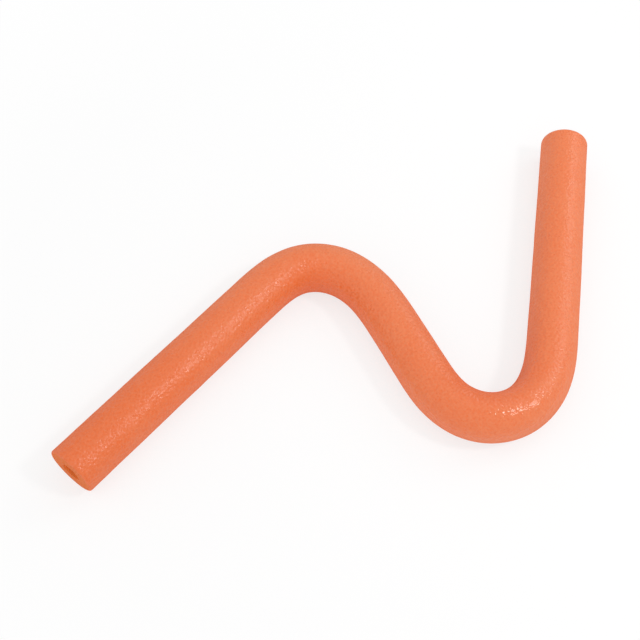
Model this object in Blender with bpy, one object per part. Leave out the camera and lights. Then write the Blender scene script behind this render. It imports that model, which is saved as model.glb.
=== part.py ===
"""Pool noodle: one extruded tube of closed-cell foam, bent into a flat S and lying on the floor.

The tube has three straight legs and two bends. Bent foam doesn't follow plain arcs: its curvature
swells from nothing to a peak and fades again, and there the round section is pressed narrower across
the bend and stands taller. One loft carries that changing section, with its open bore, along the route.

Units are metres. X and Y lie on the floor and +Z points up. The right leg runs along +Y. The origin is
on the floor, below the middle of the noodle's box.
"""

import math
from collections import namedtuple

import bmesh
import bpy

# The tube, as it leaves the extruder
OUTER_DIAMETER = 0.0635
BORE_DIAMETER = 0.024
CUT_EDGE_ROUND = 0.0015
FLOOR_FLAT_DEPTH = 0.0005

# The route, from the cut end of the left leg to the cut end of the right leg
LEFT_LEG_LENGTH = 0.299
UPPER_BEND_EASE_IN = 0.097
UPPER_BEND_HOLD = 0.013
UPPER_BEND_EASE_OUT = 0.158
MIDDLE_LEG_LENGTH = 0.035
LOWER_BEND_EASE_IN = 0.082
LOWER_BEND_HOLD = 0.040
LOWER_BEND_EASE_OUT = 0.184
RIGHT_LEG_LENGTH = 0.292

# How far the noodle turns at each bend, and where the right leg points
UPPER_BEND_TURN = math.radians(112.3)
LOWER_BEND_TURN = math.radians(143.2)
RIGHT_LEG_HEADING = math.radians(90)

# How much a bend narrows the tube: this share of its radius where the bend is as tight as the tube
# is thick, and less where it is wider, by the square
NARROWING_SHARE = 0.07

# How finely the loft follows the form
LEG_RING_PITCH = 0.060
BEND_RING_PITCH = 0.0085
BORE_SIDES = 18
OUTER_SIDES = 2 * BORE_SIDES
CUT_EDGE_STEPS = 2
ROUTE_STEPS_PER_RING = 8

# The foam's skin, in linear colour
SKIN_COLOUR = (0.83, 0.19, 0.075, 1.0)
SKIN_ROUGHNESS = 0.5

OUTER_RADIUS = OUTER_DIAMETER / 2
BORE_RADIUS = BORE_DIAMETER / 2

Span = namedtuple("Span", "length start_curvature end_curvature ring_pitch")
Ring = namedtuple("Ring", "x y heading narrowing edge_inset")


def peak_curvature(turn, ease_in, hold, ease_out):
    """The steady curvature that makes a whole bend turn this far."""
    return turn / (hold + (ease_in + ease_out) / 2)


def bend_spans(turn, ease_in, hold, ease_out):
    """One bend: the curvature swells, holds and fades. A left turn is positive."""
    peak = peak_curvature(turn, ease_in, hold, ease_out)
    return [
        Span(ease_in, 0, peak, BEND_RING_PITCH),
        Span(hold, peak, peak, BEND_RING_PITCH),
        Span(ease_out, peak, 0, BEND_RING_PITCH),
    ]


def route_spans():
    """The whole route, leg by leg and bend by bend."""
    upper_bend = bend_spans(-UPPER_BEND_TURN, UPPER_BEND_EASE_IN, UPPER_BEND_HOLD, UPPER_BEND_EASE_OUT)
    lower_bend = bend_spans(LOWER_BEND_TURN, LOWER_BEND_EASE_IN, LOWER_BEND_HOLD, LOWER_BEND_EASE_OUT)
    left_leg = Span(LEFT_LEG_LENGTH, 0, 0, LEG_RING_PITCH)
    middle_leg = Span(MIDDLE_LEG_LENGTH, 0, 0, LEG_RING_PITCH)
    right_leg = Span(RIGHT_LEG_LENGTH, 0, 0, LEG_RING_PITCH)
    return [left_leg, *upper_bend, middle_leg, *lower_bend, right_leg]


def curvature_in(span, share):
    """Curvature at a share of the span's length, on a smooth ramp from its start to its end."""
    ramp = share * share * (3 - 2 * share)
    return span.start_curvature + (span.end_curvature - span.start_curvature) * ramp


def turn_in(span, share):
    """Angle turned from the span's start to a share of its length: the integral of the ramp."""
    ramp_area = share ** 3 - share ** 4 / 2
    rise = span.end_curvature - span.start_curvature
    return span.length * (span.start_curvature * share + rise * ramp_area)


def narrowing_at(curvature):
    """How much a bend takes off the tube's half width, and adds to its half height."""
    return NARROWING_SHARE * OUTER_RADIUS * (curvature * OUTER_DIAMETER) ** 2


def cut_edge_profile():
    """Quarter round at a cut end: each step's distance from the cut and its inset from the skin."""
    profile = []
    for step in range(CUT_EDGE_STEPS):
        angle = math.radians(90) * step / CUT_EDGE_STEPS
        profile.append((CUT_EDGE_ROUND * (1 - math.cos(angle)), CUT_EDGE_ROUND * (1 - math.sin(angle))))
    profile.append((CUT_EDGE_ROUND, 0))
    return profile


def route_rings():
    """Where each ring of the loft stands on the floor plan, from one cut end to the other."""
    heading = RIGHT_LEG_HEADING - LOWER_BEND_TURN + UPPER_BEND_TURN
    x = 0
    y = 0
    rings = []
    for distance, inset in cut_edge_profile():
        rings.append(Ring(distance * math.cos(heading), distance * math.sin(heading), heading, 0, inset))

    for span in route_spans():
        ring_count = max(1, round(span.length / span.ring_pitch))
        step_count = ring_count * ROUTE_STEPS_PER_RING
        step_length = span.length / step_count
        for step in range(step_count):
            direction = heading + turn_in(span, (step + 0.5) / step_count)
            x += step_length * math.cos(direction)
            y += step_length * math.sin(direction)
            if (step + 1) % ROUTE_STEPS_PER_RING == 0:
                share = (step + 1) / step_count
                narrowing = narrowing_at(curvature_in(span, share))
                rings.append(Ring(x, y, heading + turn_in(span, share), narrowing, 0))
        heading += turn_in(span, 1)

    rings.pop()
    for distance, inset in reversed(cut_edge_profile()):
        back_x = x - distance * math.cos(heading)
        back_y = y - distance * math.sin(heading)
        rings.append(Ring(back_x, back_y, heading, 0, inset))
    return rings


def outer_outline(ring):
    """The skin's section: an oval that is cut off flat where it lies on the floor."""
    half_width = OUTER_RADIUS - ring.narrowing
    half_height = OUTER_RADIUS + ring.narrowing
    flat_angle = math.acos(1 - FLOOR_FLAT_DEPTH / half_height)
    arc_start = flat_angle - math.radians(90)
    arc_length = math.radians(360) - 2 * flat_angle
    outline = []
    for side in range(OUTER_SIDES):
        angle = arc_start + arc_length * side / (OUTER_SIDES - 1)
        across = (half_width - ring.edge_inset) * math.cos(angle)
        upward = (half_height - ring.edge_inset) * math.sin(angle)
        outline.append((across, upward))
    return outline


def bore_outline(ring):
    """The bore's section: an oval pressed in by as much as the skin is."""
    half_width = BORE_RADIUS - ring.narrowing + ring.edge_inset
    half_height = BORE_RADIUS + ring.narrowing + ring.edge_inset
    outline = []
    for side in range(BORE_SIDES):
        angle = math.radians(360) * (side + 0.5) / BORE_SIDES - math.radians(90)
        outline.append((half_width * math.cos(angle), half_height * math.sin(angle)))
    return outline


def stand_up(mesh, ring, outline):
    """Stand an outline upright across the route, with the tube's skin touching the floor."""
    centre_height = OUTER_RADIUS + ring.narrowing - FLOOR_FLAT_DEPTH
    right_x = math.sin(ring.heading)
    right_y = -math.cos(ring.heading)
    corners = []
    for across, upward in outline:
        place = (ring.x + across * right_x, ring.y + across * right_y, centre_height + upward)
        corners.append(mesh.verts.new(place))
    return corners


def loft(mesh, loops):
    """Join each loop of corners to the next by a band of quads."""
    for near, far in zip(loops, loops[1:]):
        for side in range(len(near)):
            after = (side + 1) % len(near)
            mesh.faces.new((near[side], near[after], far[after], far[side]))


def close_cut_end(mesh, outer, bore):
    """The flat cut face between the skin and the bore: two of the skin's sides to each of the bore's."""
    for side in range(BORE_SIDES):
        after = (side + 1) % BORE_SIDES
        skin_side = 2 * side
        skin_corners = [outer[skin_side], outer[skin_side + 1], outer[(skin_side + 2) % OUTER_SIDES]]
        mesh.faces.new((*skin_corners, bore[after], bore[side]))


def centre_over_origin(mesh):
    """Put the middle of the noodle's floor plan on the origin."""
    xs = [corner.co.x for corner in mesh.verts]
    ys = [corner.co.y for corner in mesh.verts]
    middle_x = (min(xs) + max(xs)) / 2
    middle_y = (min(ys) + max(ys)) / 2
    bmesh.ops.translate(mesh, verts=mesh.verts, vec=(-middle_x, -middle_y, 0))


def noodle_mesh():
    """The whole tube: skin, bore and the two cut ends."""
    mesh = bmesh.new()
    outer_loops = []
    bore_loops = []
    for ring in route_rings():
        outer_loops.append(stand_up(mesh, ring, outer_outline(ring)))
        bore_loops.append(stand_up(mesh, ring, bore_outline(ring)))
    loft(mesh, outer_loops)
    loft(mesh, bore_loops)
    close_cut_end(mesh, outer_loops[0], bore_loops[0])
    close_cut_end(mesh, outer_loops[-1], bore_loops[-1])
    centre_over_origin(mesh)
    bmesh.ops.recalc_face_normals(mesh, faces=mesh.faces)
    return mesh


def foam_material():
    """Satin orange skin of closed-cell foam."""
    material = bpy.data.materials.new("foam_skin")
    material.use_nodes = True
    shader = material.node_tree.nodes["Principled BSDF"]
    shader.inputs["Base Color"].default_value = SKIN_COLOUR
    shader.inputs["Roughness"].default_value = SKIN_ROUGHNESS
    shader.inputs["Metallic"].default_value = 0
    material.diffuse_color = SKIN_COLOUR
    return material


def build_noodle():
    """The noodle as one object, smooth round the tube and crisp at the cut ends and the floor flat."""
    mesh = noodle_mesh()
    data = bpy.data.meshes.new("foam_noodle")
    mesh.to_mesh(data)
    mesh.free()
    data.materials.append(foam_material())
    data.shade_smooth()
    data.set_sharp_from_angle(angle=math.radians(30))
    noodle = bpy.data.objects.new("foam_noodle", data)
    bpy.context.collection.objects.link(noodle)
    return noodle


for old_object in list(bpy.data.objects):
    bpy.data.objects.remove(old_object, do_unlink=True)
build_noodle()
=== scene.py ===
"""The looks of the pool noodle: one foam tube in a flat S, with its satin skin, its cut ends and its bore.

Everything is in metres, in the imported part's frame: X and Y lie on the floor and +Z points up.
"""

import math
from collections import namedtuple

import bpy
import numpy as np
from mathutils import Matrix, Vector, noise


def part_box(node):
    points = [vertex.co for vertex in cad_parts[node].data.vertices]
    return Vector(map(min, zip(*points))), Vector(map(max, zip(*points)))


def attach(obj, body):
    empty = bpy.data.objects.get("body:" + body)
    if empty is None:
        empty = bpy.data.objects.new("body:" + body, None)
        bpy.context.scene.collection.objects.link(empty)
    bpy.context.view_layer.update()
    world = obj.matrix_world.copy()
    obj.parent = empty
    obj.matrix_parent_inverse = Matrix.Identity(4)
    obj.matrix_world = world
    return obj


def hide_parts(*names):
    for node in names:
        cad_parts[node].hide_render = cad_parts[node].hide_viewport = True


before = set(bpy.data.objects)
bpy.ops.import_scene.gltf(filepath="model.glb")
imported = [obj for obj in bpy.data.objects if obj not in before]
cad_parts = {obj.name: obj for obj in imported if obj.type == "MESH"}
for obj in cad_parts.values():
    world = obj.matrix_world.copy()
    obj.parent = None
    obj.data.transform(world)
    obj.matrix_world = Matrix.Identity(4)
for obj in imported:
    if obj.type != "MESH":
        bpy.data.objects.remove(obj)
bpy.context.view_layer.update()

# The tube and its route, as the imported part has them
OUTER_RADIUS = 0.03175
BORE_RADIUS = 0.012
FLOOR_FLAT_DEPTH = 0.0005
LEFT_LEG_LENGTH = 0.299
UPPER_BEND_EASE_IN = 0.097
UPPER_BEND_HOLD = 0.013
UPPER_BEND_EASE_OUT = 0.158
MIDDLE_LEG_LENGTH = 0.035
LOWER_BEND_EASE_IN = 0.082
LOWER_BEND_HOLD = 0.040
LOWER_BEND_EASE_OUT = 0.184
RIGHT_LEG_LENGTH = 0.292
UPPER_BEND_TURN = math.radians(112.3)
LOWER_BEND_TURN = math.radians(143.2)
RIGHT_LEG_HEADING = math.radians(90)
NARROWING_SHARE = 0.07

# The cut ends. The skin rolls over the cut, and the knife ran a little out of square: a cut's shift
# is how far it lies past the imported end, and its yaw and pitch tilt the face
Cut = namedtuple("Cut", "shift yaw pitch")
LEFT_CUT = Cut(-0.0019, math.radians(0.6), math.radians(-3.0))
RIGHT_CUT = Cut(-0.0005, math.radians(-0.3), math.radians(1.7))
CUT_SKEW_REACH = 0.040
CUT_EDGE_ROUND = 0.0025
CUT_EDGE_STEPS = 6

# How fine the surface is, and how sharp a fold shows as an edge
ROUTE_STEP = 0.0005
SKIN_RING_PITCH = 0.0021
SKIN_ARC_SIDES = 112
FLAT_SIDES = 8
BORE_FINE_PITCH = 0.0018
BORE_FINE_REACH = 0.045
BORE_COARSE_PITCH = 0.010
CUT_FACE_RINGS = 11
SHARP_FOLD = math.radians(40)

# The foam's own unevenness: how far apart its swells lie, how high they stand, and where their
# noise starts
Swell = namedtuple("Swell", "spacing height start")
TUBE_SWELLS = (
    Swell(0.055, 0.00030, 3.0),
    Swell(0.019, 0.00012, 11.0),
    Swell(0.0065, 0.00006, 23.0),
)
CUT_SWELLS = (Swell(0.012, 0.00020, 31.0), Swell(0.0035, 0.00012, 41.0))

# Colours, in linear light
SKIN_DEEP = (0.810, 0.141, 0.022, 1.0)
SKIN_COLOUR = (0.820, 0.176, 0.050, 1.0)
SKIN_PALE = (0.830, 0.216, 0.076, 1.0)
# The cut faces' deeper colour is painted shade in the hollows of their cells
CUT_CELL_PAINTED_SHADE = (0.67, 0.128, 0.022, 1.0)
CUT_COLOUR = (0.79, 0.190, 0.044, 1.0)
# The bore's colour is brighter and more vivid than the cut foam's: painted light inside the bore
BORE_COLOUR_WITH_PAINTED_LIGHT = (0.97, 0.255, 0.044, 1.0)
FLOOR_COLOUR = (0.97, 0.97, 0.97, 1.0)
WHITE = (1.0, 1.0, 1.0, 1.0)

# Ranges of values: of a share, and where nearly all of a mottle's and of the pits' values lie
WHOLE = (0.0, 1.0)
MOTTLE_RANGE = (0.3, 0.7)
PITS_RANGE = (0.0, 0.55)

# The skin's tone, from nought to one, and its colours along it. Cloudy patches share it with a fine
# fleck blended with painted shade in the pits of the orange peel, deeper in each pit than at its walls
PATCH_SPACING = 0.085
PATCH_TONES = (0.275, 0.725)
FLECK_SPACING = 0.0026
FLECK_DETAIL = 1.5
FLECK_TONES = (0.2, 0.8)
PIT_SPACING = 0.0036
PIT_SOFTNESS = 0.5
PIT_PAINTED_SHADE_TONES = (0.15, 0.85)
PAINTED_PIT_SHADE_SHARE = 0.4
FLECK_AND_PIT_SHADE_SHARE = 0.5
SKIN_STOPS = ((0.32, SKIN_DEEP), (0.50, SKIN_COLOUR), (0.68, SKIN_PALE))

# How the tone shifts, down to deep and up to pale: slowly along the tube, by distance from the left
# cut end, and across each bend, with painted shade on its inner side and painted light on its outer side
TONE_ALONG = ((0.0, -0.14), (0.45, 0.055), (0.66, -0.07), (1.05, 0.06), (1.20, 0.02))
PAINTED_SHADE_AND_LIGHT_IN_BENDS = ((-1.0, -0.22), (0.2, 0.044))

# The skin's gloss, from nought to one, by how tightly the tube bends to the left, as it does in the
# lower bend alone. At full gloss the satin's roughness and the orange peel's depth keep these shares
GLOSS_IN_BENDING = ((0.2, 0.0), (1.0, 1.0))
GLOSSY_ROUGHNESS_SHARE = 0.36
GLOSSY_PEEL_SHARE = 0.75

# The satin's roughness varies between two values, as the skin was rubbed. Skin seen at a slant is
# rougher still: the rim's reach is where that sets in and where it is full
RUB_SPACING = 0.012
SATIN_ROUGHNESS = (0.25, 0.37)
RIM_ROUGHNESS = 0.75
RIM_REACH = (0.30, 0.85)

# The skin's relief: the orange peel's pits, and a finer grain on top
PEEL_DEPTH = 0.00080
GRAIN_SPACING = 0.0018
GRAIN_DEPTH = 0.00032

# The open cells of the cut faces, with painted shade in their hollows, and the bore's bare wall
CUT_CELL_SPACING = 0.0013
CUT_CELL_SOFTNESS = 0.2
CUT_CELL_DEPTH = 0.00035
CUT_CELL_SHADE_STOPS = ((0.15, CUT_CELL_PAINTED_SHADE), (0.55, CUT_COLOUR))
CUT_ROUGHNESS = 0.75
CUT_SPECULAR_LEVEL = 0.25
BORE_CELL_SPACING = 0.0018
BORE_CELL_SOFTNESS = 0.4
BORE_CELL_DEPTH = 0.00030
BORE_ROUGHNESS = 0.7

# The floor: this share of its real shade shows under the noodle, and it fades to none between these
# distances from the origin
FLOOR_HALF_WIDTH = 6.0
FLOOR_ROUGHNESS = 0.9
FLOOR_SHADOW_SHARE = 0.28
FLOOR_SHADOW_FADE = (0.42, 0.75)

# The light: from all round, stronger on one side by the lean, and softboxes by direction (clockwise
# from +Y, and up), distance, width and how strongly they light what faces them. The photograph's
# background is plain white
WORLD_LEVEL = 0.54
WORLD_LEAN = (-0.24, -0.32, 0.32)
Softbox = namedtuple("Softbox", "name azimuth elevation distance width level")
SOFTBOXES = (
    Softbox("key_softbox", math.radians(95), math.radians(53), 3.0, 0.40, 0.63),
    Softbox("back_softbox", math.radians(45), math.radians(36), 3.0, 1.5, 0.44),
    Softbox("top_softbox", math.radians(0), math.radians(72), 3.0, 1.8, 0.11),
)

# The camera: where the photograph was taken from
CAMERA_AIM = Vector((-0.02609, -0.02269, 0.0))
CAMERA_DISTANCE = 1.4584
CAMERA_AZIMUTH = math.radians(2.154)
CAMERA_ELEVATION = math.radians(58.475)
CAMERA_ROLL = math.radians(8.094)
CAMERA_LENS = 64.13
CAMERA_SENSOR_WIDTH = 36.0

Span = namedtuple("Span", "length start_curvature end_curvature")
Station = namedtuple("Station", "distance x y heading narrowing")


def bend_spans(turn, ease_in, hold, ease_out):
    """One bend: its curvature swells, holds and fades. A left turn is positive."""
    peak = turn / (hold + (ease_in + ease_out) / 2)
    return [Span(ease_in, 0, peak), Span(hold, peak, peak), Span(ease_out, peak, 0)]


def route_spans():
    """The route from the left cut end to the right one."""
    upper_bend = bend_spans(-UPPER_BEND_TURN, UPPER_BEND_EASE_IN, UPPER_BEND_HOLD, UPPER_BEND_EASE_OUT)
    lower_bend = bend_spans(LOWER_BEND_TURN, LOWER_BEND_EASE_IN, LOWER_BEND_HOLD, LOWER_BEND_EASE_OUT)
    left_leg = Span(LEFT_LEG_LENGTH, 0, 0)
    middle_leg = Span(MIDDLE_LEG_LENGTH, 0, 0)
    right_leg = Span(RIGHT_LEG_LENGTH, 0, 0)
    return [left_leg, *upper_bend, middle_leg, *lower_bend, right_leg]


def turn_in(span, share):
    """Angle turned from the span's start to a share of its length."""
    rise = span.end_curvature - span.start_curvature
    return span.length * (span.start_curvature * share + rise * (share ** 3 - share ** 4 / 2))


def curvature_in(span, share):
    """Curvature at a share of the span's length, on a smooth ramp."""
    rise = span.end_curvature - span.start_curvature
    return span.start_curvature + rise * share * share * (3 - 2 * share)


def narrowing_at(curvature):
    """How much a bend takes off the tube's half width and adds to its half height."""
    return NARROWING_SHARE * OUTER_RADIUS * (curvature * 2 * OUTER_RADIUS) ** 2


def centred(places, reach, low, high):
    """Places on one axis, moved together so that what reaches round them lies midway between limits."""
    middle = ((places - reach).min() + (places + reach).max()) / 2
    return places + ((low + high) / 2 - middle)


class Route:
    """The tube's centre line on the floor plan, sampled finely enough to be read between samples."""

    def __init__(self):
        heading = RIGHT_LEG_HEADING - LOWER_BEND_TURN + UPPER_BEND_TURN
        samples = [Station(0.0, 0.0, 0.0, heading, 0.0)]
        for span in route_spans():
            steps = round(span.length / ROUTE_STEP)
            reach = span.length / steps
            for step in range(steps):
                before = samples[-1]
                direction = heading + turn_in(span, (step + 0.5) / steps)
                share = (step + 1) / steps
                samples.append(
                    Station(
                        distance=before.distance + reach,
                        x=before.x + reach * math.cos(direction),
                        y=before.y + reach * math.sin(direction),
                        heading=heading + turn_in(span, share),
                        narrowing=narrowing_at(curvature_in(span, share)),
                    )
                )
            heading += turn_in(span, 1)
        self.samples = Station(*np.array(samples).T)
        self.length = self.samples.distance[-1]
        self.centre_on_part()

    def centre_on_part(self):
        """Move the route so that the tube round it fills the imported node's box."""
        low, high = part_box("foam_noodle")
        half_width = OUTER_RADIUS - self.samples.narrowing
        reach_x = half_width * np.abs(np.sin(self.samples.heading))
        reach_y = half_width * np.abs(np.cos(self.samples.heading))
        x = centred(self.samples.x, reach_x, low[0], high[0])
        y = centred(self.samples.y, reach_y, low[1], high[1])
        self.samples = self.samples._replace(x=x, y=y)

    def at(self, distances):
        """The stations at these distances along the route."""
        return Station(*(np.interp(distances, self.samples.distance, column) for column in self.samples))

    def bending(self, distances):
        """Curvature at each of these distances, as a share of the tightest. A left turn is positive."""
        curvature = np.gradient(self.samples.heading, self.samples.distance)
        return np.interp(distances, self.samples.distance, curvature / np.abs(curvature).max())


def skin_stations(length):
    """Distance and inset of each ring of the skin, with a quarter round at both cut ends."""
    angles = np.radians(90) * np.arange(CUT_EDGE_STEPS + 1) / CUT_EDGE_STEPS
    edge_distances = CUT_EDGE_ROUND * (1 - np.cos(angles))
    edge_insets = CUT_EDGE_ROUND * (1 - np.sin(angles))
    ring_count = round((length - 2 * CUT_EDGE_ROUND) / SKIN_RING_PITCH)
    body = np.linspace(CUT_EDGE_ROUND, length - CUT_EDGE_ROUND, ring_count + 1)[1:-1]
    distances = np.concatenate([edge_distances, body, length - edge_distances[::-1]])
    insets = np.concatenate([edge_insets, np.zeros(len(body)), edge_insets[::-1]])
    return distances, insets


def bore_stations(length):
    """Distance of each ring of the bore: close together near its mouths and wide apart further in."""
    near = np.arange(0, BORE_FINE_REACH, BORE_FINE_PITCH)
    ring_count = round((length - 2 * BORE_FINE_REACH) / BORE_COARSE_PITCH)
    middle = np.linspace(BORE_FINE_REACH, length - BORE_FINE_REACH, ring_count + 1)
    return np.concatenate([near, middle, length - near[::-1]])


def skin_section(half_width, half_height):
    """Outline of the skin across and up from its centre, cut off flat where it lies on the floor."""
    flat_angle = np.arccos(1 - FLOOR_FLAT_DEPTH / half_height)
    shares = np.linspace(0, 1, SKIN_ARC_SIDES + 1)
    angles = (flat_angle - math.pi / 2)[:, None] + (2 * math.pi - 2 * flat_angle)[:, None] * shares
    across = half_width[:, None] * np.cos(angles)
    upward = half_height[:, None] * np.sin(angles)
    flat_shares = np.linspace(0, 1, FLAT_SIDES + 1)[1:-1]
    flat_across = across[:, -1:] + (across[:, :1] - across[:, -1:]) * flat_shares
    flat_upward = np.repeat(upward[:, :1], FLAT_SIDES - 1, axis=1)
    return np.hstack([across, flat_across]), np.hstack([upward, flat_upward])


def bore_section(half_width, half_height, sides):
    """Outline of the bore across and up from its centre."""
    angles = 2 * math.pi * (np.arange(sides) + 0.5) / sides - math.pi / 2
    return half_width[:, None] * np.cos(angles), half_height[:, None] * np.sin(angles)


def cut_slide(route, distances, across, upward):
    """How far each point slides along the tube, as the ends were cut a little off and out of square."""
    slide = np.zeros_like(across)
    for cut, from_end in ((LEFT_CUT, distances), (RIGHT_CUT, route.length - distances)):
        fade = np.clip(1 - from_end / CUT_SKEW_REACH, 0, 1)[:, None]
        slide += fade * (cut.shift + across * math.tan(cut.yaw) + upward * math.tan(cut.pitch))
    return slide


def place_section(route, distances, across, upward):
    """Stand outlines upright across the route and give them the foam's swells, never below the floor."""
    station = Station(*(column[:, None] for column in route.at(distances)))
    slide = cut_slide(route, distances, across, upward)
    centre_height = OUTER_RADIUS + station.narrowing - FLOOR_FLAT_DEPTH

    def points(growth):
        """The outlines' points, grown by this factor about the centre line."""
        wide = across * growth
        return np.stack(
            [
                station.x + wide * np.sin(station.heading) + slide * np.cos(station.heading),
                station.y - wide * np.cos(station.heading) + slide * np.sin(station.heading),
                np.maximum(centre_height + upward * growth, 0),
            ],
            axis=-1,
        )

    smooth = points(np.ones_like(across))
    radius = np.hypot(across, upward)
    return points(1 + swell_heights(smooth, TUBE_SWELLS) / radius)


def swell_heights(points, swells):
    """Sum of smooth noise at each point, in metres."""
    flat = points.reshape(-1, 3)
    heights = np.zeros(len(flat))
    for swell in swells:
        noise_places = flat / swell.spacing + swell.start
        heights += swell.height * np.array([noise.noise(Vector(place)) for place in noise_places])
    return heights.reshape(points.shape[:-1])


def skin_rings(route):
    """Every ring of the skin, its distance along the tube, and how far to the right its points lie."""
    distances, insets = skin_stations(route.length)
    narrowing = route.at(distances).narrowing
    across, upward = skin_section(OUTER_RADIUS - narrowing, OUTER_RADIUS + narrowing)
    kept_share = 1 - insets[:, None] / OUTER_RADIUS
    return place_section(route, distances, across * kept_share, upward * kept_share), distances, across


def bore_rings(route, sides):
    """Every ring of the bore, and its distance along the tube."""
    distances = bore_stations(route.length)
    narrowing = route.at(distances).narrowing
    across, upward = bore_section(BORE_RADIUS - narrowing, BORE_RADIUS + narrowing, sides)
    return place_section(route, distances, across, upward), distances


class BakeSheet:
    """Lays the tube's surface out flat, in metres, for the textures that are baked from its materials.

    From the bottom up lie two strips of skin, one of the bore at half size, and both cut faces. The
    sheet is wide enough for half of the tube's length.
    """

    MARGIN = 0.004
    SKIN_STRIP = 2 * math.pi * OUTER_RADIUS
    BORE_SHARE = 0.5
    BORE_STRIP = 2 * math.pi * BORE_RADIUS * BORE_SHARE
    WIDTH = 0.610
    HEIGHT = 2 * SKIN_STRIP + BORE_STRIP + 2 * OUTER_RADIUS + 5 * MARGIN

    @classmethod
    def unit(cls, across, up):
        """Metres on the sheet to shares of its width and height."""
        return np.stack([across / cls.WIDTH, up / cls.HEIGHT], axis=-1)

    @classmethod
    def strip(cls, row, distances, sides, height, share=1.0):
        """A band round the tube, cut open along one side. Rows 0 and 1 are skin, and row 2 is the bore."""
        across = cls.MARGIN + (distances - distances[0]) * share
        bottom = cls.MARGIN + row * (cls.SKIN_STRIP + cls.MARGIN)
        up = bottom + height * np.arange(sides + 1) / sides
        return cls.unit(*np.broadcast_arrays(across[:, None], up[None, :]))

    @classmethod
    def disc(cls, points, centre, heading, end):
        """A cut face, seen square on."""
        right = np.array([math.sin(heading), -math.cos(heading), 0])
        offset = points - centre
        middle_across = cls.MARGIN + OUTER_RADIUS + end * (2 * OUTER_RADIUS + 2 * cls.MARGIN)
        middle_up = cls.HEIGHT - cls.MARGIN - OUTER_RADIUS
        return cls.unit(middle_across + offset @ right, middle_up + offset[..., 2])


# The materials' places on the mesh
SKIN, CUT, BORE = range(3)


class TubeMesh:
    """Collects loops of points, the faces between them and their places on the bake sheet."""

    def __init__(self):
        self.points = []
        self.faces = []
        self.materials = []
        self.places = []
        self.tone = []
        self.gloss = []

    def add_rings(self, rings, tone=0.0, gloss=0.0):
        """Add rings of points, with the skin's shift in tone and its gloss there. Gives their indices."""
        start = sum(len(block) for block in self.points)
        self.points.append(rings.reshape(-1, 3))
        self.tone.append(np.broadcast_to(tone, rings.shape[:2]).ravel())
        self.gloss.append(np.broadcast_to(gloss, rings.shape[:2]).ravel())
        return start + np.arange(rings.shape[0] * rings.shape[1]).reshape(rings.shape[:2])

    def add_face(self, corners, places, material, flipped):
        """One face, with the place of each corner on the bake sheet."""
        order = slice(None, None, -1) if flipped else slice(None)
        self.faces.append([int(corner) for corner in corners][order])
        self.places.extend(list(places)[order])
        self.materials.append(material)

    def add_bands(self, indices, places, material, flipped=False):
        """Quads between each ring and the next. Places have one column more, where the ring closes."""
        near_after = np.roll(indices, -1, axis=1)[:-1]
        far_after = np.roll(indices, -1, axis=1)[1:]
        corners = np.stack([indices[:-1], near_after, far_after, indices[1:]], axis=-1).reshape(-1, 4)
        spots = np.stack([places[:-1, :-1], places[:-1, 1:], places[1:, 1:], places[1:, :-1]], axis=2)
        for face, face_places in zip(corners, spots.reshape(-1, 4, 2)):
            self.add_face(face, face_places, material, flipped)

    def make(self, name, materials):
        """The Blender object, smooth round the tube and crisp where the foam was cut."""
        data = bpy.data.meshes.new(name)
        data.from_pydata(np.concatenate(self.points).tolist(), [], self.faces)
        for material in materials:
            data.materials.append(material)
        data.polygons.foreach_set("material_index", self.materials)
        for attribute_name, blocks in (("tone", self.tone), ("gloss", self.gloss)):
            attribute = data.attributes.new(attribute_name, "FLOAT", "POINT")
            attribute.data.foreach_set("value", np.concatenate(blocks).astype(np.float32))
        sheet = data.uv_layers.new(name="OFBake")
        sheet.uv.foreach_set("vector", np.array(self.places, dtype=np.float32).ravel())
        data.shade_smooth()
        data.set_sharp_from_angle(angle=SHARP_FOLD)
        piece = bpy.data.objects.new(name, data)
        bpy.context.collection.objects.link(piece)
        return piece


def read_curve(curve, values):
    """What a curve, given by its points, says at each of these values."""
    return np.interp(values, *zip(*curve))


def add_skin(tube, route):
    """The skin, laid out in two strips that meet at the middle of the tube."""
    rings, distances, across = skin_rings(route)
    bending = route.bending(distances)[:, None]
    # Painted shade deepens the tone on the inner side of each bend, and painted light pales it on the
    # outer side
    side_in_bend = bending * across / OUTER_RADIUS
    tone = read_curve(TONE_ALONG, distances)[:, None] + read_curve(PAINTED_SHADE_AND_LIGHT_IN_BENDS, side_in_bend)
    indices = tube.add_rings(rings, tone, read_curve(GLOSS_IN_BENDING, bending))
    half = len(rings) // 2
    for row, (first, last) in enumerate(((0, half), (half, len(rings) - 1))):
        strip = slice(first, last + 1)
        places = BakeSheet.strip(row, distances[strip], rings.shape[1], BakeSheet.SKIN_STRIP)
        tube.add_bands(indices[strip], places, SKIN)
    return rings, indices


def add_bore(tube, route, sides):
    """The bore's wall, facing inward."""
    rings, distances = bore_rings(route, sides)
    indices = tube.add_rings(rings)
    places = BakeSheet.strip(2, distances, sides, BakeSheet.BORE_STRIP, BakeSheet.BORE_SHARE)
    tube.add_bands(indices, places, BORE, flipped=True)
    return rings, indices


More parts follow.
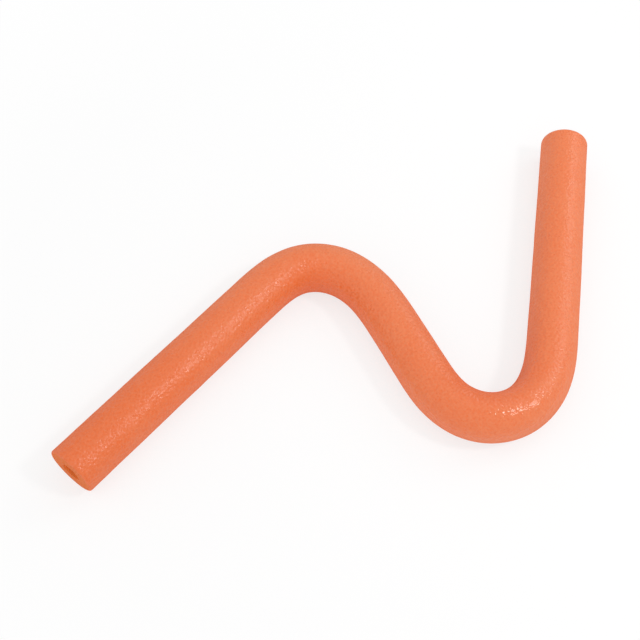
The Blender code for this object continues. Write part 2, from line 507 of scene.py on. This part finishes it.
def add_cut_face(tube, route, end, skin_ring, skin_indices, bore_ring, bore_indices):
    """The bare foam at one cut end, from the rim to the bore. End is 0 at the left and 1 at the right."""
    station = route.at(end * route.length)
    centre = np.array([station.x, station.y, OUTER_RADIUS - FLOOR_FLAT_DEPTH])
    outward = (2 * end - 1) * np.array([math.cos(station.heading), math.sin(station.heading), 0])
    flipped = end == 0

    # The bore has half the skin's sides, so points midway between its own are added for the rings
    bore_after = np.roll(bore_ring, -1, axis=0)
    full_bore = np.stack([bore_ring, (bore_ring + bore_after) / 2], axis=1).reshape(-1, 3)
    shares = np.arange(1, CUT_FACE_RINGS)[:, None, None] / CUT_FACE_RINGS
    inner = skin_ring + (full_bore - skin_ring) * shares
    inner = inner + outward * swell_heights(inner, CUT_SWELLS)[..., None]
    inner_indices = tube.add_rings(inner)

    rings = np.concatenate([skin_ring[None], inner])
    closed = np.concatenate([rings, rings[:, :1]], axis=1)
    places = BakeSheet.disc(closed, centre, station.heading, end)
    tube.add_bands(np.vstack([skin_indices, inner_indices]), places, CUT, flipped)

    # Two sides of the innermost ring meet each side of the bore
    last_indices = inner_indices[-1]
    last_places = places[-1]
    bore_places = BakeSheet.disc(bore_ring, centre, station.heading, end)
    for side in range(len(bore_ring)):
        after = (side + 1) % len(bore_ring)
        wide = [2 * side, 2 * side + 1, (2 * side + 2) % len(last_indices)]
        corners = [*last_indices[wide], bore_indices[after], bore_indices[side]]
        spots = [*last_places[wide], bore_places[after], bore_places[side]]
        tube.add_face(corners, spots, CUT, flipped)


def foam_tube():
    """The whole noodle as one closed mesh: skin, two cut faces and the bore."""
    route = Route()
    tube = TubeMesh()
    skin, skin_indices = add_skin(tube, route)
    bore, bore_indices = add_bore(tube, route, skin.shape[1] // 2)
    for end, ring in ((0, 0), (1, -1)):
        add_cut_face(tube, route, end, skin[ring], skin_indices[ring], bore[ring], bore_indices[ring])
    return tube.make("foam_tube", [skin_material(), cut_material(), bore_material()])


def add_node(tree, kind, inputs=None, **settings):
    """Add a shader node, with its settings, and give each input a value or a link."""
    node = tree.nodes.new(kind)
    for name, value in settings.items():
        setattr(node, name, value)
    for name, value in (inputs or {}).items():
        set_input(tree, node, name, value)
    return node


def set_input(tree, node, name, value):
    """Give a node's input, by its name or number, a value or a link from another node's output."""
    if isinstance(value, bpy.types.NodeSocket):
        tree.links.new(value, node.inputs[name])
    else:
        node.inputs[name].default_value = value


def new_material(name):
    """A node material, with its tree, its shader and the surface's own coordinates."""
    material = bpy.data.materials.new(name)
    material.use_nodes = True
    tree = material.node_tree
    place = add_node(tree, "ShaderNodeTexCoord").outputs["Object"]
    return material, tree, tree.nodes["Principled BSDF"], place


def point_value(tree, name):
    """A value that the mesh holds at each of its points."""
    return add_node(tree, "ShaderNodeAttribute", attribute_name=name).outputs["Fac"]


def mottle(tree, place, spacing, detail=2.0):
    """Smooth noise whose patches lie this far apart."""
    inputs = {"Vector": place, "Scale": 1 / spacing, "Detail": detail}
    return add_node(tree, "ShaderNodeTexNoise", inputs).outputs["Fac"]


def cells(tree, place, spacing, softness):
    """Rounded cells: nought in the middle of each, rising to its walls."""
    inputs = {"Vector": place, "Scale": 1 / spacing, "Smoothness": softness}
    return add_node(tree, "ShaderNodeTexVoronoi", inputs, feature="SMOOTH_F1").outputs["Distance"]


def scaled(tree, value, old_range, new_range):
    """Stretch a value from one range to another, and hold it there beyond the ends."""
    inputs = {
        "Value": value,
        "From Min": old_range[0],
        "From Max": old_range[1],
        "To Min": new_range[0],
        "To Max": new_range[1],
    }
    return add_node(tree, "ShaderNodeMapRange", inputs).outputs["Result"]


def blend(tree, first, second, second_share):
    """A weighted mean of two values."""
    inputs = {"Factor": second_share, "A": first, "B": second}
    return add_node(tree, "ShaderNodeMix", inputs, data_type="FLOAT").outputs["Result"]


def arithmetic(tree, operation, first, second):
    """One operation on two values."""
    return add_node(tree, "ShaderNodeMath", {0: first, 1: second}, operation=operation).outputs["Value"]


def product(tree, first, second):
    """Two values multiplied."""
    return arithmetic(tree, "MULTIPLY", first, second)


def total(tree, first, second):
    """Two values added."""
    return arithmetic(tree, "ADD", first, second)


def colour_ramp(tree, value, stops):
    """Colours along a value: each stop is its place and its colour."""
    node = add_node(tree, "ShaderNodeValToRGB", {"Fac": value})
    ramp = node.color_ramp
    while len(ramp.elements) < len(stops):
        ramp.elements.new(1.0)
    for element, (position, colour) in zip(ramp.elements, stops):
        element.position = position
        element.color = colour
    return node.outputs["Color"]


def bump(tree, height, depth, under=None):
    """Relief of this depth in metres, on top of another relief."""
    inputs = {"Height": height, "Distance": depth, "Strength": 1.0}
    if under is not None:
        inputs["Normal"] = under
    return add_node(tree, "ShaderNodeBump", inputs).outputs["Normal"]


def skin_material():
    """Satin foam skin: orange peel in two sizes, and a colour with cloudy patches, a fine fleck and
    painted shade in the peel's pits.

    The tone also shifts along the tube, with painted shade on the inner side of each bend and painted
    light on its outer side, and the skin is glossier in the lower bend.
    """
    material, tree, shader, place = new_material("foam_skin_satin")
    pits = cells(tree, place, PIT_SPACING, PIT_SOFTNESS)
    gloss = point_value(tree, "gloss")

    patches = scaled(tree, mottle(tree, place, PATCH_SPACING), WHOLE, PATCH_TONES)
    fleck = scaled(tree, mottle(tree, place, FLECK_SPACING, FLECK_DETAIL), MOTTLE_RANGE, FLECK_TONES)
    # Painted shade: the pits of the orange peel are deeper in tone and their walls paler
    fleck_and_pit_shade = blend(tree, fleck, scaled(tree, pits, PITS_RANGE, PIT_PAINTED_SHADE_TONES), PAINTED_PIT_SHADE_SHARE)
    own_tone = blend(tree, patches, fleck_and_pit_shade, FLECK_AND_PIT_SHADE_SHARE)
    tone = total(tree, own_tone, point_value(tree, "tone"))
    set_input(tree, shader, "Base Color", colour_ramp(tree, tone, SKIN_STOPS))

    rubbed = scaled(tree, mottle(tree, place, RUB_SPACING), MOTTLE_RANGE, SATIN_ROUGHNESS)
    satin = product(tree, rubbed, scaled(tree, gloss, WHOLE, (1.0, GLOSSY_ROUGHNESS_SHARE)))
    facing = add_node(tree, "ShaderNodeLayerWeight").outputs["Facing"]
    rim = scaled(tree, facing, RIM_REACH, WHOLE)
    set_input(tree, shader, "Roughness", blend(tree, satin, RIM_ROUGHNESS, rim))

    peel_height = product(tree, pits, scaled(tree, gloss, WHOLE, (1.0, GLOSSY_PEEL_SHARE)))
    peel = bump(tree, peel_height, PEEL_DEPTH)
    grain = bump(tree, mottle(tree, place, GRAIN_SPACING), GRAIN_DEPTH, under=peel)
    set_input(tree, shader, "Normal", grain)
    return material


def cut_material():
    """Foam cut through its cells: matte, open and a little yellower than the skin, with painted shade in
    each cell's hollow.
    """
    material, tree, shader, place = new_material("foam_cut_cells")
    open_cells = cells(tree, place, CUT_CELL_SPACING, CUT_CELL_SOFTNESS)
    # Painted shade: each cell's hollow is deeper in colour than its walls
    set_input(tree, shader, "Base Color", colour_ramp(tree, open_cells, CUT_CELL_SHADE_STOPS))
    set_input(tree, shader, "Roughness", CUT_ROUGHNESS)
    set_input(tree, shader, "Specular IOR Level", CUT_SPECULAR_LEVEL)
    set_input(tree, shader, "Normal", bump(tree, open_cells, CUT_CELL_DEPTH))
    return material


def bore_material():
    """The bore's wall: the same foam without a skin, coloured brighter and more vivid than the cut faces
    as painted light inside the bore.
    """
    material, tree, shader, place = new_material("foam_bore_wall")
    bare_cells = cells(tree, place, BORE_CELL_SPACING, BORE_CELL_SOFTNESS)
    # Painted light: the bore's wall is coloured brighter than the cut foam
    set_input(tree, shader, "Base Color", BORE_COLOUR_WITH_PAINTED_LIGHT)
    set_input(tree, shader, "Roughness", BORE_ROUGHNESS)
    set_input(tree, shader, "Normal", bump(tree, bare_cells, BORE_CELL_DEPTH))
    return material


def seen_directly(tree):
    """One where the camera sees a surface, straight or in a reflection, and nought where light bounces."""
    path = add_node(tree, "ShaderNodeLightPath")
    seen = path.outputs["Is Camera Ray"]
    for ray in ("Is Glossy Ray", "Is Transmission Ray"):
        seen = arithmetic(tree, "MAXIMUM", seen, path.outputs[ray])
    return seen


def add_floor():
    """A plain pale floor, wide enough to be the background from every side."""
    half = FLOOR_HALF_WIDTH
    corners = [(-half, -half, 0), (half, -half, 0), (half, half, 0), (-half, half, 0)]
    data = bpy.data.meshes.new("studio_floor")
    data.from_pydata(corners, [], [(0, 1, 2, 3)])
    data.materials.append(floor_material())
    floor = bpy.data.objects.new("studio_floor", data)
    bpy.context.collection.objects.link(floor)


def floor_material():
    """White to the eye, with a share of the noodle's shadow near it, and a plain surface to the light."""
    material, tree, shader, place = new_material("studio_floor_white")
    set_input(tree, shader, "Base Color", FLOOR_COLOUR)
    set_input(tree, shader, "Roughness", FLOOR_ROUGHNESS)
    set_input(tree, shader, "Specular IOR Level", 0.0)
    white = add_node(tree, "ShaderNodeEmission", {"Color": WHITE, "Strength": 1.0}).outputs["Emission"]
    length = add_node(tree, "ShaderNodeVectorMath", {"Vector": place}, operation="LENGTH")
    white_share = scaled(tree, length.outputs["Value"], FLOOR_SHADOW_FADE, (1 - FLOOR_SHADOW_SHARE, 1.0))
    seen_white = product(tree, white_share, seen_directly(tree))
    inputs = {"Fac": seen_white, 1: shader.outputs["BSDF"], 2: white}
    surface = add_node(tree, "ShaderNodeMixShader", inputs).outputs["Shader"]
    set_input(tree, tree.nodes["Material Output"], "Surface", surface)
    return material


def add_camera():
    """The photograph's own view, aimed at a point on the floor."""
    data = bpy.data.cameras.new("photo_camera")
    data.lens = CAMERA_LENS
    data.sensor_width = CAMERA_SENSOR_WIDTH
    data.sensor_fit = "HORIZONTAL"
    camera = bpy.data.objects.new("photo_camera", data)
    turn = Matrix.Rotation(CAMERA_AZIMUTH, 4, "Z")
    tilt = Matrix.Rotation(math.radians(90) - CAMERA_ELEVATION, 4, "X")
    roll = Matrix.Rotation(CAMERA_ROLL, 4, "Z")
    step_back = Matrix.Translation((0, 0, CAMERA_DISTANCE))
    camera.matrix_world = Matrix.Translation(CAMERA_AIM) @ turn @ tilt @ step_back @ roll
    bpy.context.collection.objects.link(camera)
    bpy.context.scene.camera = camera


def add_softbox(softbox):
    """A square lamp that faces the noodle."""
    along_floor = math.cos(softbox.elevation)
    x = math.sin(softbox.azimuth) * along_floor
    y = math.cos(softbox.azimuth) * along_floor
    direction = Vector((x, y, math.sin(softbox.elevation)))
    data = bpy.data.lights.new(softbox.name, "AREA")
    data.shape = "SQUARE"
    data.size = softbox.width
    data.energy = math.pi * softbox.distance ** 2 * softbox.level
    lamp = bpy.data.objects.new(softbox.name, data)
    lamp.location = direction * softbox.distance
    lamp.rotation_euler = direction.to_track_quat("Z", "Y").to_euler()
    bpy.context.collection.objects.link(lamp)


def add_world():
    """Soft light from all round, stronger from above and the front left, and white where it is seen."""
    world = bpy.data.worlds.new("studio_world")
    world.use_nodes = True
    bpy.context.scene.world = world
    tree = world.node_tree
    background = tree.nodes["Background"]
    direction = add_node(tree, "ShaderNodeTexCoord").outputs["Generated"]
    inputs = {0: direction, 1: WORLD_LEAN}
    lean = add_node(tree, "ShaderNodeVectorMath", inputs, operation="DOT_PRODUCT").outputs["Value"]
    level = total(tree, lean, WORLD_LEVEL)
    set_input(tree, background, "Color", WHITE)
    set_input(tree, background, "Strength", blend(tree, level, 1.0, seen_directly(tree)))


noodle = foam_tube()
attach(noodle, "root")
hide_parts("foam_noodle")

add_floor()
add_camera()
add_world()
for softbox in SOFTBOXES:
    add_softbox(softbox)

bpy.context.scene.view_settings.view_transform = "Standard"
